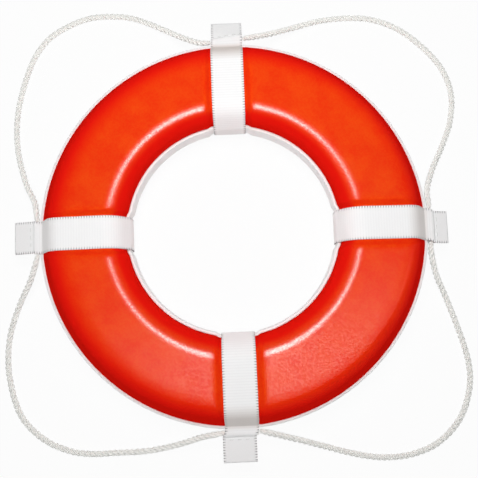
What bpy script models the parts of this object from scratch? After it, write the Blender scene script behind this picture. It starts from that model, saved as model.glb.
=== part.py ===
"""Life ring: a foam ring in two covers, crossed by four webbing straps that hold a grab line.

The ring lies on its back. Z is the ring's axis, the back face is at z = 0, the front looks up,
and the straps lie about along +X (right), +Y (top), -X (left) and -Y (bottom). Lengths are in
metres.
"""
import math

import bmesh
import bpy
from mathutils import Matrix, Vector

# Ring
OUTER_RADIUS = 0.305          # over the rear cover's rim
OPENING_RADIUS = 0.1625       # the wall of the central opening
THICKNESS = 0.089             # back face to front face
COVER_WALL = 0.002            # sheet of both covers
FRONT_SHOULDER = 0.034        # rounding of the front cover towards the opening
OUTER_ROUNDING = 0.023        # rounding of the front cover towards the rim
OUTER_SLOPE = math.radians(62)  # slope of the front cover between that rounding and the rim
REAR_SHOULDER = 0.026         # rounding of the rear cover
RIM_HEIGHT = 0.051            # top of the rear cover's rim above the back face
RIM_DEPTH = 0.0064            # height of the thickened rim itself
RIM_WIDTH = 0.005             # how far the rim stands out past the front cover
RIM_ROUNDING = 0.0025

# Clearances
FIT_GAP = 0.0003              # between pieces that touch
CHANNEL_SIDE_GAP = 0.0008     # strap edge to the foot of the channel's slope

# Channels that the straps lie in
CHANNEL_SLOPE = 0.010         # width of the slope on each side
CHANNEL_FRONT = 0.004         # depth in the front face
CHANNEL_BACK = 0.0024         # depth in the back face
CHANNEL_OUTSIDE = 0.0015      # depth in the outer wall
CHANNEL_INSIDE = 0.0003       # depth in the opening's wall

# Straps
STRAP_WIDTH = 0.0508
STRAP_THICKNESS = 0.0016
CREASE_RADIUS = 0.0012        # mid-line bend where the two layers close behind the line
CREASE_DISTANCE = 0.007       # crease from the centre of the line
RIM_BEND = 0.003              # mid-line bend where the strap steps onto the rim
# strap: its direction in degrees, how far its slack lets the line off the rim, its tab's droop
# in degrees, and the tab's length from the crease
STRAPS = {
    "right": (-0.9, 0.0, 12.0, 0.0220),
    "top": (90.0, 0.0036, 26.0, 0.0350),
    "left": (180.4, 0.0, 12.0, 0.0310),
    "bottom": (270.3, 0.0, 5.0, 0.0376),
}

# Stitching of the tabs
THREAD_DIAMETER = 0.0009
NEEDLE_HOLE = 0.0015          # width of the square hole
STITCH_LENGTH = 0.006
STITCH_PAIRS = 4
STITCH_INSET = 0.003          # row of stitches from the crease
THREAD_TAIL = 0.002

# Grab line
LINE_DIAMETER = 0.0095
LINE_BELOW_RIM = 0.0055       # centre of the line under the top of the rim, in the straps
PIVOT_STANDOFF = 0.0027       # where a free stretch starts to bend, past the strap's edge
LINE_POINT_SPACING = 0.023

# Free stretches of the grab line: from one strap, to the next, and the route between them as
# x, y and the height above a line that lies on the floor.
LINE_ROUTES = {
    "upper_right": ("top", "right", [
        (0.0650, 0.3282, 0.0262),
        (0.1086, 0.3457, 0.0093),
        (0.1627, 0.3622, 0.0008),
        (0.2158, 0.3655, 0.0),
        (0.2575, 0.3593, 0.0),
        (0.2983, 0.3398, 0.0),
        (0.3376, 0.3050, 0.0),
        (0.3656, 0.2658, 0.0),
        (0.3772, 0.2219, 0.0),
        (0.3710, 0.1739, 0.0008),
        (0.3527, 0.1314, 0.0053),
        (0.3294, 0.0915, 0.0203),
        (0.3125, 0.0542, 0.0337),
    ]),
    "upper_left": ("left", "top", [
        (-0.3175, 0.0580, 0.0337),
        (-0.3361, 0.0927, 0.0213),
        (-0.3555, 0.1503, 0.0043),
        (-0.3592, 0.2038, 0.0),
        (-0.3502, 0.2572, 0.0),
        (-0.3323, 0.3109, 0.0),
        (-0.3061, 0.3485, 0.0),
        (-0.2694, 0.3718, 0.0),
        (-0.2321, 0.3843, 0.0),
        (-0.1896, 0.3852, 0.0),
        (-0.1533, 0.3780, 0.0008),
        (-0.1103, 0.3559, 0.0073),
        (-0.0729, 0.3317, 0.0203),
        (-0.0471, 0.3164, 0.0323),
    ]),
    "lower_left": ("bottom", "left", [
        (-0.0623, -0.3182, 0.0283),
        (-0.1015, -0.3314, 0.0123),
        (-0.1515, -0.3411, 0.0018),
        (-0.1992, -0.3425, 0.0),
        (-0.2379, -0.3428, 0.0),
        (-0.2718, -0.3370, 0.0),
        (-0.3103, -0.3195, 0.0),
        (-0.3442, -0.2878, 0.0),
        (-0.3616, -0.2488, 0.0),
        (-0.3703, -0.2014, 0.0),
        (-0.3673, -0.1523, 0.0008),
        (-0.3493, -0.1048, 0.0093),
        (-0.3259, -0.0671, 0.0263),
    ]),
    "lower_right": ("right", "bottom", [
        (0.3102, -0.0460, 0.0352),
        (0.3206, -0.0819, 0.0193),
        (0.3371, -0.1168, 0.0053),
        (0.3543, -0.1661, 0.0),
        (0.3672, -0.2206, 0.0),
        (0.3659, -0.2628, 0.0),
        (0.3474, -0.3096, 0.0),
        (0.3105, -0.3454, 0.0),
        (0.2660, -0.3624, 0.0),
        (0.2176, -0.3651, 0.0),
        (0.1703, -0.3564, 0.0008),
        (0.1220, -0.3412, 0.0073),
        (0.0738, -0.3245, 0.0233),
    ]),
}

# Facets
ARC_STEP = math.radians(22.5)
COLUMNS_BETWEEN_CHANNELS = 10
LINE_SIDES = 2                # bevel resolution of the line, which gives 8 sides
THREAD_SIDES = 1              # bevel resolution of the thread, which gives 6 sides
ROUTE_STEPS = 24              # fine steps from one point of a route to the next
DOME_ANGLES = [math.radians(angle) for angle in (75, 50, 25)]
SMOOTH_ANGLE = math.radians(40)

# Sizes that follow from those above
LINE_RADIUS = LINE_DIAMETER / 2
FRONT_OUTER = OUTER_RADIUS - RIM_WIDTH
FRONT_INNER = OPENING_RADIUS + RIM_WIDTH
RIM_FOOT = RIM_HEIGHT - RIM_DEPTH
MIDDLE_RADIUS = (OUTER_RADIUS + OPENING_RADIUS) / 2
CHANNEL_FLOOR = STRAP_WIDTH / 2 + CHANNEL_SIDE_GAP
CHANNEL_REACH = CHANNEL_FLOOR + CHANNEL_SLOPE
FACE_DROP = THICKNESS - CHANNEL_FRONT - RIM_HEIGHT    # from the face to the rim, in a channel
SHOULDER = min(FRONT_SHOULDER, FACE_DROP)
ROUNDING = min(OUTER_ROUNDING, FACE_DROP / (1 - math.cos(OUTER_SLOPE)))
ROUNDING_HEIGHT = THICKNESS - ROUNDING                # centre of the outer rounding, which
ROUNDING_OFFSET = FRONT_OUTER - (                     # touches the face and the slope
    (ROUNDING + (ROUNDING_HEIGHT - RIM_HEIGHT) * math.cos(OUTER_SLOPE)) / math.sin(OUTER_SLOPE))
LINE_HEIGHT = RIM_HEIGHT - LINE_BELOW_RIM
LINE_OFFSET = OUTER_RADIUS + FIT_GAP + LINE_RADIUS
PIVOT_SIDEWAYS = STRAP_WIDTH / 2 + PIVOT_STANDOFF
STRAP_MIDDLE = FIT_GAP + STRAP_THICKNESS / 2
QUARTER = math.pi / 2
LONGEST_WRAP = 3 * QUARTER    # a belt that turns further round a stop does not reach it


def clear_scene():
    for obj in list(bpy.data.objects):
        bpy.data.objects.remove(obj, do_unlink=True)


def make_material(name, colour, roughness):
    material = bpy.data.materials.new(name)
    material.use_nodes = True
    shader = material.node_tree.nodes["Principled BSDF"]
    shader.inputs["Base Color"].default_value = (*colour, 1.0)
    shader.inputs["Roughness"].default_value = roughness
    shader.inputs["Metallic"].default_value = 0.0
    return material


def add_mesh_object(name, bm, material):
    bmesh.ops.recalc_face_normals(bm, faces=bm.faces)
    mesh = bpy.data.meshes.new(name)
    bm.to_mesh(mesh)
    bm.free()
    mesh.shade_smooth()
    mesh.set_sharp_from_angle(angle=SMOOTH_ANGLE)
    mesh.materials.append(material)
    obj = bpy.data.objects.new(name, mesh)
    bpy.context.scene.collection.objects.link(obj)
    return obj


def marks_between(start, end, step):
    """Angles from start to end: both of these, and the multiples of the step well between them."""
    low, high = sorted((start, end))
    marks = [k * step for k in range(math.ceil(low / step), math.floor(high / step) + 1)]
    marks = [m for m in marks if low + step / 4 < m < high - step / 4]
    if end < start:
        marks.reverse()
    return [start, *marks, end]


def arc(centre_x, centre_z, radius, start, end, step=ARC_STEP):
    """Points on an arc in the section's plane, from one angle to another, both included."""
    return [(centre_x + radius * math.cos(angle), centre_z + radius * math.sin(angle))
            for angle in marks_between(start, end, step)]


def front_line(inset, foot, step=ARC_STEP):
    """The front cover's outline from the outer foot over the face to the inner foot, moved inwards."""
    slope_end = QUARTER - OUTER_SLOPE
    corner = (FRONT_OUTER - inset, RIM_HEIGHT - inset * math.tan(slope_end / 2))
    line = [(FRONT_OUTER - inset, foot), corner]
    line += arc(ROUNDING_OFFSET, ROUNDING_HEIGHT, ROUNDING - inset, slope_end, QUARTER, step)
    line += arc(FRONT_INNER + SHOULDER, THICKNESS - SHOULDER, SHOULDER - inset, QUARTER, 2 * QUARTER, step)
    line.append((FRONT_INNER + inset, foot))
    return line


def rear_line(inset, head, step=ARC_STEP):
    """The rear cover's outline from the inner wall under the back face to the outer wall."""
    radius = REAR_SHOULDER - inset
    line = [(OPENING_RADIUS + inset, head)]
    line += arc(OPENING_RADIUS + REAR_SHOULDER, REAR_SHOULDER, radius, 2 * QUARTER, 3 * QUARTER, step)
    line += arc(OUTER_RADIUS - REAR_SHOULDER, REAR_SHOULDER, radius, 3 * QUARTER, 4 * QUARTER, step)
    line.append((OUTER_RADIUS - inset, head))
    return line


def front_cover_section():
    return front_line(0.0, RIM_FOOT) + front_line(COVER_WALL, RIM_FOOT)[::-1]


def rear_cover_section():
    """A trough whose two upper edges are thickened into rims that the front cover tucks into."""
    rim_centre = RIM_HEIGHT - RIM_ROUNDING
    outer_face = FRONT_OUTER + FIT_GAP
    inner_face = FRONT_INNER - FIT_GAP
    outer_rim = [(outer_face, RIM_FOOT), (outer_face, RIM_HEIGHT)]
    outer_rim += arc(OUTER_RADIUS - RIM_ROUNDING, rim_centre, RIM_ROUNDING, QUARTER, 0, QUARTER / 2)
    inner_rim = arc(OPENING_RADIUS + RIM_ROUNDING, rim_centre, RIM_ROUNDING, 2 * QUARTER, QUARTER,
                    QUARTER / 2)
    inner_rim += [(inner_face, RIM_HEIGHT), (inner_face, RIM_FOOT)]
    outside = rear_line(0.0, rim_centre)[1:-1][::-1]
    inside = rear_line(COVER_WALL, RIM_FOOT)
    return outer_rim + outside + inner_rim + inside


def front_core_section():
    return front_line(COVER_WALL + FIT_GAP, RIM_FOOT, 2 * ARC_STEP)


def rear_core_section():
    return rear_line(COVER_WALL + FIT_GAP, RIM_FOOT - FIT_GAP, 2 * ARC_STEP)


def channel_stations():
    """Columns of a quarter of the ring, in two lists.

    The slope beside a strap has (sideways distance from the strap's middle, share of the
    channel's depth) for each column. The arc between two channels has shares of its length.
    """
    slope = [(CHANNEL_FLOOR, 1.0), ((CHANNEL_FLOOR + CHANNEL_REACH) / 2, 0.5), (CHANNEL_REACH, 0.0)]
    between = [i / COLUMNS_BETWEEN_CHANNELS for i in range(1, COLUMNS_BETWEEN_CHANNELS)]
    return slope, between


def press_channels(bm):
    """Move the columns of a full spin to the strap's edges, and press the channels in."""
    slope, between = channel_stations()
    per_quarter = 2 * len(slope) + len(between)
    column_angle = QUARTER / per_quarter
    directions = [math.radians(values[0]) for values in STRAPS.values()]
    directions.append(directions[0] + 4 * QUARTER)
    for vert in bm.verts:
        radius = math.hypot(vert.co.x, vert.co.y)
        column = round(math.atan2(vert.co.y, vert.co.x) / column_angle) % (4 * per_quarter)
        quarter, place = divmod(column, per_quarter)
        start, end = directions[quarter], directions[quarter + 1]
        edge = math.asin(CHANNEL_REACH / radius)
        if place < len(slope):
            sideways, depth = slope[place]
            point = turned(start) @ channel_point(radius, vert.co.z, sideways, depth)
        elif place < len(slope) + len(between):
            angle = edge + between[place - len(slope)] * (end - start - 2 * edge)
            point = turned(start + angle) @ Vector((radius, 0.0, vert.co.z))
        else:
            sideways, depth = slope[per_quarter - 1 - place]
            point = turned(end) @ channel_point(radius, vert.co.z, -sideways, depth)
        vert.co = point


def turned(angle):
    return Matrix.Rotation(angle, 3, "Z")


def channel_point(radius, z, sideways, depth):
    """A point of the ring beside a strap that runs along +X, with its share of the pressing."""
    round_x = math.sqrt(radius * radius - sideways * sideways)
    flat_x = radius - CHANNEL_OUTSIDE if radius > MIDDLE_RADIUS else radius + CHANNEL_INSIDE
    x = round_x + (flat_x - round_x) * depth
    if z > RIM_HEIGHT + FIT_GAP:
        z -= CHANNEL_FRONT * depth
    elif z < RIM_FOOT - 2 * FIT_GAP:
        z += CHANNEL_BACK * depth
    return Vector((x, sideways, z))


def make_ring_piece(name, section, material):
    """Spin a closed section about the ring's axis and press the strap channels into it."""
    slope, between = channel_stations()
    bm = bmesh.new()
    verts = [bm.verts.new((r, 0.0, z)) for r, z in section]
    edges = [bm.edges.new((verts[i - 1], verts[i])) for i in range(len(verts))]
    bmesh.ops.spin(
        bm, geom=verts + edges, cent=(0, 0, 0), axis=(0, 0, 1), dvec=(0, 0, 0),
        angle=4 * QUARTER, steps=4 * (2 * len(slope) + len(between)), use_merge=True,
        use_duplicate=False,
    )
    press_channels(bm)
    # The pressed faces are twisted, so nested pieces keep their gap only if they split alike.
    bmesh.ops.triangulate(bm, faces=bm.faces, quad_method="SHORT_EDGE")
    return add_mesh_object(name, bm, material)


def belt_headings(stops):
    """Heading of each straight run of a belt, and its turn round each stop between them."""
    headings = []
    for (x1, z1, r1), (x2, z2, r2) in zip(stops, stops[1:]):
        length = math.hypot(x2 - x1, z2 - z1)
        headings.append(math.atan2(z2 - z1, x2 - x1) - math.asin((r2 - r1) / length))
    turns = []
    for (x, z, radius), before, after in zip(stops[1:-1], headings, headings[1:]):
        turn = (after - before) % (4 * QUARTER)
        turns.append(turn if radius > 0 else turn - 4 * QUARTER)
    return headings, turns


def belt(stops, step=ARC_STEP):
    """A line that runs like a belt over round stops, each (x, z, radius).

    The radius is positive where the belt turns left round the stop, negative where it turns
    right, and zero at an end. A stop that the tight belt would not reach is passed by.
    """
    headings, turns = belt_headings(stops)
    while max(abs(turn) for turn in turns) > LONGEST_WRAP:
        missed = max(range(len(turns)), key=lambda i: abs(turns[i]))
        stops = stops[:missed + 1] + stops[missed + 2:]
        headings, turns = belt_headings(stops)
    points = [stops[0][:2]]
    for (x, z, radius), before, turn in zip(stops[1:-1], headings, turns):
        for heading in marks_between(before, before + turn, step):
            points.append((x + radius * math.sin(heading), z - radius * math.cos(heading)))
    points.append(stops[-1][:2])
    return points


def tab_frame(slack, droop):
    """The crease of a tab in the strap's own plane, the way out along the tab, and its normal."""
    out = Vector((math.cos(droop), -math.sin(droop)))
    normal = Vector((math.sin(droop), math.cos(droop)))
    crease = Vector((LINE_OFFSET + slack, LINE_HEIGHT)) + out * CREASE_DISTANCE
    return crease, out, normal


def strap_line(slack, droop, tab_length):
    """Mid-line of one strap: from its tab over the line, round the ring and back under the line."""
    crease, out, normal = tab_frame(slack, droop)
    layer = (FIT_GAP + STRAP_THICKNESS) / 2
    bend = layer + CREASE_RADIUS
    end = crease + out * tab_length
    outer = OUTER_RADIUS - CHANNEL_OUTSIDE
    inner = OPENING_RADIUS + CHANNEL_INSIDE
    front_outer = FRONT_OUTER - CHANNEL_OUTSIDE
    front_inner = FRONT_INNER + CHANNEL_INSIDE
    rounding_x = ROUNDING_OFFSET - CHANNEL_OUTSIDE
    rounding_z = ROUNDING_HEIGHT - CHANNEL_FRONT
    slope_run = front_outer - rounding_x - ROUNDING * math.sin(OUTER_SLOPE)
    slope_rise = rounding_z + ROUNDING * math.cos(OUTER_SLOPE) - RIM_HEIGHT
    half_slope = math.atan2(slope_rise, slope_run) / 2
    rim_bend_x = front_outer + (RIM_BEND + STRAP_MIDDLE) * math.tan(half_slope)
    rear_z = CHANNEL_BACK + REAR_SHOULDER
    line = (LINE_OFFSET + slack, LINE_HEIGHT, LINE_RADIUS + STRAP_MIDDLE)
    return belt([
        (*(end + normal * layer), 0.0),
        (*(crease + normal * bend), -CREASE_RADIUS),
        line,
        (rim_bend_x, RIM_HEIGHT + STRAP_MIDDLE + RIM_BEND, -RIM_BEND),
        (rounding_x, rounding_z, ROUNDING + STRAP_MIDDLE),
        (front_inner + SHOULDER, THICKNESS - CHANNEL_FRONT - SHOULDER, SHOULDER + STRAP_MIDDLE),
        (inner + RIM_ROUNDING, RIM_HEIGHT - RIM_ROUNDING, RIM_ROUNDING + STRAP_MIDDLE),
        (inner + REAR_SHOULDER, rear_z, REAR_SHOULDER + STRAP_MIDDLE),
        (outer - REAR_SHOULDER, rear_z, REAR_SHOULDER + STRAP_MIDDLE),
        line,
        (*(crease - normal * bend), -CREASE_RADIUS),
        (*(end - normal * layer), 0.0),
    ])


def stitch_places():
    """Sideways places of the needle holes, evenly about the strap's middle."""
    count = 2 * STITCH_PAIRS
    return [(i - (count - 1) / 2) * STITCH_LENGTH for i in range(count)]


def tab_point(slack, droop, along, sideways, height):
    """A point near a tab: distance out from the crease, sideways, and above the tab's middle."""
    crease, out, normal = tab_frame(slack, droop)
    flat = crease + out * along + normal * height
    return Vector((flat.x, sideways, flat.y))


def make_needle_holes(name, direction, slack, droop):
    """The cutter for one row of square holes through both layers of a tab."""
    bm = bmesh.new()
    depth = 2 * (2 * STRAP_THICKNESS + FIT_GAP)
    for sideways in stitch_places():
        place = (Matrix.Translation(tab_point(slack, droop, STITCH_INSET, sideways, 0.0))
                 @ Matrix.Rotation(droop, 4, "Y")
                 @ Matrix.Diagonal((NEEDLE_HOLE, NEEDLE_HOLE, depth, 1.0)))
        bmesh.ops.create_cube(bm, size=1.0, matrix=place)
    cutter = add_mesh_object(name, bm, bpy.data.materials["webbing"])
    cutter.rotation_euler.z = direction
    cutter.hide_render = True
    cutter.display_type = "WIRE"
    return cutter


def make_strap(side, direction, slack, droop, tab_length, material):
    """One length of webbing, its ends closed into a tab outside the line and stitched."""
    line = strap_line(slack, droop, tab_length)
    bm = bmesh.new()
    half = STRAP_WIDTH / 2
    verts = [bm.verts.new((x, -half, z)) for x, z in line]
    edges = [bm.edges.new(pair) for pair in zip(verts, verts[1:])]
    swept = bmesh.ops.extrude_edge_only(bm, edges=edges)
    new_verts = [item for item in swept["geom"] if isinstance(item, bmesh.types.BMVert)]
    bmesh.ops.translate(bm, verts=new_verts, vec=(0.0, STRAP_WIDTH, 0.0))
    strap = add_mesh_object("strap_" + side, bm, material)
    strap.rotation_euler.z = direction
    solid = strap.modifiers.new("webbing thickness", "SOLIDIFY")
    solid.thickness = STRAP_THICKNESS
    solid.offset = 0.0
    solid.use_even_offset = True
    holes = strap.modifiers.new("needle holes", "BOOLEAN")
    holes.operation = "DIFFERENCE"
    holes.solver = "EXACT"
    holes.object = make_needle_holes("needle_holes_" + side, direction, slack, droop)
    return strap


def make_curve_object(name, points, radii, diameter, sides, material):
    curve = bpy.data.curves.new(name, "CURVE")
    curve.dimensions = "3D"
    curve.bevel_depth = diameter / 2
    curve.bevel_resolution = sides
    curve.use_fill_caps = True
    spline = curve.splines.new("POLY")
    spline.points.add(len(points) - 1)
    for point, place, radius in zip(spline.points, points, radii):
        point.co = (*place, 1.0)
        point.radius = radius
    spline.use_smooth = True
    curve.materials.append(material)
    obj = bpy.data.objects.new(name, curve)
    bpy.context.scene.collection.objects.link(obj)
    return obj


def make_stitching(side, direction, slack, droop, material):
    """One thread that runs down and up through the needle holes across a tab."""
    height = FIT_GAP / 2 + STRAP_THICKNESS + FIT_GAP + THREAD_DIAMETER / 2
    places = stitch_places()
    level = height
    points = [tab_point(slack, droop, STITCH_INSET, places[0] - THREAD_TAIL, level)]
    for sideways in places:
        points.append(tab_point(slack, droop, STITCH_INSET, sideways, level))
        level = -level
        points.append(tab_point(slack, droop, STITCH_INSET, sideways, level))
    points.append(tab_point(slack, droop, STITCH_INSET, places[-1] + THREAD_TAIL, level))
    thread = make_curve_object("stitching_" + side, points, [1.0] * len(points),
                               THREAD_DIAMETER, THREAD_SIDES, material)
    thread.rotation_euler.z = direction
    return thread


def make_held_line(side, direction, slack, material):
    """The straight stretch of grab line inside a strap."""
    half = PIVOT_SIDEWAYS - LINE_RADIUS - FIT_GAP
    ends = [(LINE_OFFSET + slack, sideways, LINE_HEIGHT) for sideways in (-half, half)]
    held = make_curve_object("line_in_" + side + "_strap", ends, [1.0, 1.0],
                             LINE_DIAMETER, LINE_SIDES, material)
    held.rotation_euler.z = direction
    return held


def pivot(side, sign):
    """Where the free line leaves a strap, on the side that the sign gives."""
    direction, slack, _, _ = STRAPS[side]
    place = Vector((LINE_OFFSET + slack, sign * PIVOT_SIDEWAYS, LINE_HEIGHT))
    return turned(math.radians(direction)) @ place


def smooth_route(route, spacing):
    """Evenly spaced points on a Catmull-Rom curve through the route's points."""
    ends = [2 * route[0] - route[1], *route, 2 * route[-1] - route[-2]]
    fine = []
    for a, b, c, d in zip(ends, ends[1:], ends[2:], ends[3:]):
        for i in range(ROUTE_STEPS):
            t = i / ROUTE_STEPS
            fine.append(0.5 * (2 * b + (c - a) * t + (2 * a - 5 * b + 4 * c - d) * t * t
                               + (3 * b - a - 3 * c + d) * t * t * t))
    fine.append(route[-1])
    lengths = [0.0]
    for a, b in zip(fine, fine[1:]):
        lengths.append(lengths[-1] + (b - a).length)
    count = round(lengths[-1] / spacing)
    points = []
    index = 0
    for i in range(count + 1):
        target = lengths[-1] * i / count
        while index < len(fine) - 2 and lengths[index + 1] < target:
            index += 1
        share = (target - lengths[index]) / (lengths[index + 1] - lengths[index])
        point = fine[index].lerp(fine[index + 1], share)
        point.z = max(point.z, LINE_RADIUS)
        points.append(point)
    return points, lengths[-1]


def with_domes(points):
    """Add a round end at both ends of the line, centred on its first and last point."""
    radii = [math.cos(angle) for angle in DOME_ANGLES]
    start = (points[0] - points[1]).normalized()
    end = (points[-1] - points[-2]).normalized()
    head = [points[0] + start * LINE_RADIUS * math.sin(angle) for angle in DOME_ANGLES]
    tail = [points[-1] + end * LINE_RADIUS * math.sin(angle) for angle in DOME_ANGLES]
    return head + points + tail[::-1], radii + [1.0] * len(points) + radii[::-1]


def make_free_line(name, material):
    """A free stretch of the grab line, whose origin lies on the axis that it swings about."""
    first, last, route = LINE_ROUTES[name]
    if (math.radians(STRAPS[last][0] - STRAPS[first][0])) % (4 * QUARTER) < 2 * QUARTER:
        start, end = pivot(first, 1), pivot(last, -1)
    else:
        start, end = pivot(first, -1), pivot(last, 1)
    middle = [Vector((x, y, LINE_RADIUS + height)) for x, y, height in route]
    points, length = smooth_route([start, *middle, end], LINE_POINT_SPACING)
    origin = (start + end) / 2
    points, radii = with_domes(points)
    free = make_curve_object("grab_line_" + name, [p - origin for p in points], radii,
                             LINE_DIAMETER, LINE_SIDES, material)
    free.location = origin
    axis = (end - start).normalized()
    print(f"grab_line_{name}: {length:.3f} m, {len(points)} points, pivot "
          f"{origin.x:.5f} {origin.y:.5f} {origin.z:.5f}, axis {axis.x:.5f} {axis.y:.5f}")
    return free


def main():
    clear_scene()
    orange = make_material("orange_cover", (0.95, 0.09, 0.01), 0.3)
    white = make_material("white_cover", (0.85, 0.86, 0.86), 0.35)
    foam = make_material("core_foam", (0.88, 0.87, 0.82), 0.9)
    webbing = make_material("webbing", (0.86, 0.85, 0.84), 0.8)
    thread = make_material("thread", (0.8, 0.8, 0.79), 0.7)
    rope = make_material("line_rope", (0.84, 0.84, 0.80), 0.75)

    make_ring_piece("front_cover", front_cover_section(), orange)
    make_ring_piece("rear_cover", rear_cover_section(), white)
    make_ring_piece("foam_core_front", front_core_section(), foam)
    make_ring_piece("foam_core_rear", rear_core_section(), foam)

    for side, (direction, slack, droop, tab_length) in STRAPS.items():
        direction = math.radians(direction)
        droop = math.radians(droop)
        make_strap(side, direction, slack, droop, tab_length, webbing)
        make_stitching(side, direction, slack, droop, thread)
        make_held_line(side, direction, slack, rope)

    for name in LINE_ROUTES:
        make_free_line(name, rope)


main()
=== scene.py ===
# %% [markdown]
# # Dressing a life ring in Blender
#
# The object is a pool-side life ring: a foam ring in an orange front cover and a white rear
# cover, four webbing straps round it, and a rope grab line that the straps hold. The packed
# CAD model is the frame that everything here is built on. It has the right sizes and joints,
# but its surfaces are plain facets. This file makes the fine surfaces and their finishes.
#
# The first step loads that frame. Its bodies and nodes stay where they are, and each new
# piece rides on a body, so that it follows when the grab line is lifted.

import math

import bmesh
import bpy
import numpy as np
from mathutils import Matrix, Vector


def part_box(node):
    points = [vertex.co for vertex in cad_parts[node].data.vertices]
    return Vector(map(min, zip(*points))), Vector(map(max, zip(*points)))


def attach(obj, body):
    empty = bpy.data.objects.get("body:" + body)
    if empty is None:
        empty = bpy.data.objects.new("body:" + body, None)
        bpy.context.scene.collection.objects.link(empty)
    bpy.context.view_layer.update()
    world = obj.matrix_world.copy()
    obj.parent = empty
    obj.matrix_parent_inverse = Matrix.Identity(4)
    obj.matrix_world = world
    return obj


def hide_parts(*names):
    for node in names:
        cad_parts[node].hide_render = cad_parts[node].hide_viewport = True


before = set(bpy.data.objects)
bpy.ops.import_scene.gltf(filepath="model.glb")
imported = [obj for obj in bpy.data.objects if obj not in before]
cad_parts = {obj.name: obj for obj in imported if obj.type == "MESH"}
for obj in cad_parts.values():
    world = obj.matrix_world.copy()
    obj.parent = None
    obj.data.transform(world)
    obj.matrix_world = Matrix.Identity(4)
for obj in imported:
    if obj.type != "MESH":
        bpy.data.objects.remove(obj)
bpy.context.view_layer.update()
print("nodes:", len(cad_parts))

# %% [markdown]
# ## The camera
#
# The photograph looks down on the ring from a little below its middle, about 0.94 m above the
# floor, so the far wall of the opening shows and the near wall doesn't. A camera is easiest
# to place from two points, its own place and the point it looks at, and a small roll, because
# the ring lies slightly turned in the photograph. The lens follows from the focal length in
# pixels: a 478 pixel wide frame on a 36 mm sensor.

# %% Place the camera
CAMERA_PLACE = Vector((0.0083, -0.1240, 0.9364))
CAMERA_TARGET = Vector((0.0080, -0.0101, 0.0))
CAMERA_ROLL = -0.0396
FOCAL_PIXELS = 569.5
PHOTO_WIDTH = 478
SENSOR_WIDTH = 36.0

look = (CAMERA_TARGET - CAMERA_PLACE).normalized()
level = look.cross(Vector((0, 1, 0))).normalized()
upright = level.cross(look)
right = math.cos(CAMERA_ROLL) * level + math.sin(CAMERA_ROLL) * upright
up = math.cos(CAMERA_ROLL) * upright - math.sin(CAMERA_ROLL) * level

camera = bpy.data.objects.new("camera", bpy.data.cameras.new("camera"))
camera.data.sensor_width = SENSOR_WIDTH
camera.data.lens = FOCAL_PIXELS / PHOTO_WIDTH * SENSOR_WIDTH
camera.matrix_world = (Matrix.Translation(CAMERA_PLACE)
                       @ Matrix((right, up, -look)).transposed().to_4x4())
bpy.context.scene.collection.objects.link(camera)
bpy.context.scene.camera = camera
print(f"lens {camera.data.lens:.1f} mm, {CAMERA_PLACE.z:.2f} m above the floor")

# %% [markdown]
# ## Sizes
#
# These are the real sizes of the ring, the straps and the line, in metres, the same as in the
# CAD model. What follows from them is worked out, so a changed size carries through.

# %% Name the sizes
OUTER_RADIUS = 0.305
OPENING_RADIUS = 0.1625
THICKNESS = 0.089
COVER_WALL = 0.002
SHOULDER = 0.034
ROUNDING = 0.023
OUTER_SLOPE = math.radians(62)
REAR_SHOULDER = 0.026
RIM_HEIGHT = 0.051
RIM_DEPTH = 0.0064
RIM_WIDTH = 0.005
RIM_ROUNDING = 0.0025
FIT_GAP = 0.0003

CHANNEL_SIDE_GAP = 0.0008
CHANNEL_SLOPE = 0.010
CHANNEL_FRONT = 0.004
CHANNEL_BACK = 0.0024
CHANNEL_OUTSIDE = 0.0015
CHANNEL_INSIDE = 0.0003

STRAP_WIDTH = 0.0508
STRAP_THICKNESS = 0.0016
CREASE_RADIUS = 0.0012
CREASE_DISTANCE = 0.007
RIM_BEND = 0.003

LINE_DIAMETER = 0.0095
LINE_BELOW_RIM = 0.0055
PIVOT_STANDOFF = 0.0027

LINE_RADIUS = LINE_DIAMETER / 2
LINE_HEIGHT = RIM_HEIGHT - LINE_BELOW_RIM
LINE_OFFSET = OUTER_RADIUS + FIT_GAP + LINE_RADIUS
PIVOT_SIDEWAYS = STRAP_WIDTH / 2 + PIVOT_STANDOFF
FRONT_OUTER = OUTER_RADIUS - RIM_WIDTH
FRONT_INNER = OPENING_RADIUS + RIM_WIDTH
RIM_FOOT = RIM_HEIGHT - RIM_DEPTH
MIDDLE_RADIUS = (OUTER_RADIUS + OPENING_RADIUS) / 2
STRAP_MIDDLE = FIT_GAP + STRAP_THICKNESS / 2
ROUNDING_HEIGHT = THICKNESS - ROUNDING
ROUNDING_OFFSET = FRONT_OUTER - (
    (ROUNDING + (ROUNDING_HEIGHT - RIM_HEIGHT) * math.cos(OUTER_SLOPE)) / math.sin(OUTER_SLOPE))
SLOPE_TOP = ROUNDING_HEIGHT + ROUNDING * math.cos(OUTER_SLOPE)
QUARTER = math.pi / 2

# strap: its direction in degrees, its slack, its tab's droop in degrees, the tab's length, how far
# the tab drifts sideways, and how far the line lies askew in it from one edge to the other
STRAPS = {
    "right": (-0.9, 0.0, 12.0, 0.0220, -0.0038, 0.0),
    "top": (90.0, 0.0036, 26.0, 0.0350, -0.0004, -0.0066),
    "left": (180.4, 0.0, 12.0, 0.0310, -0.0020, 0.0),
    "bottom": (270.3, 0.0, 5.0, 0.0376, -0.0044, 0.0),
}

held_low, held_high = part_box("line_in_right_strap")
framed_offset = (held_low.x + held_high.x) / 2
print(f"line centre {LINE_OFFSET * 1000:.2f} mm out, {framed_offset * 1000:.2f} mm in the frame")

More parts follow.
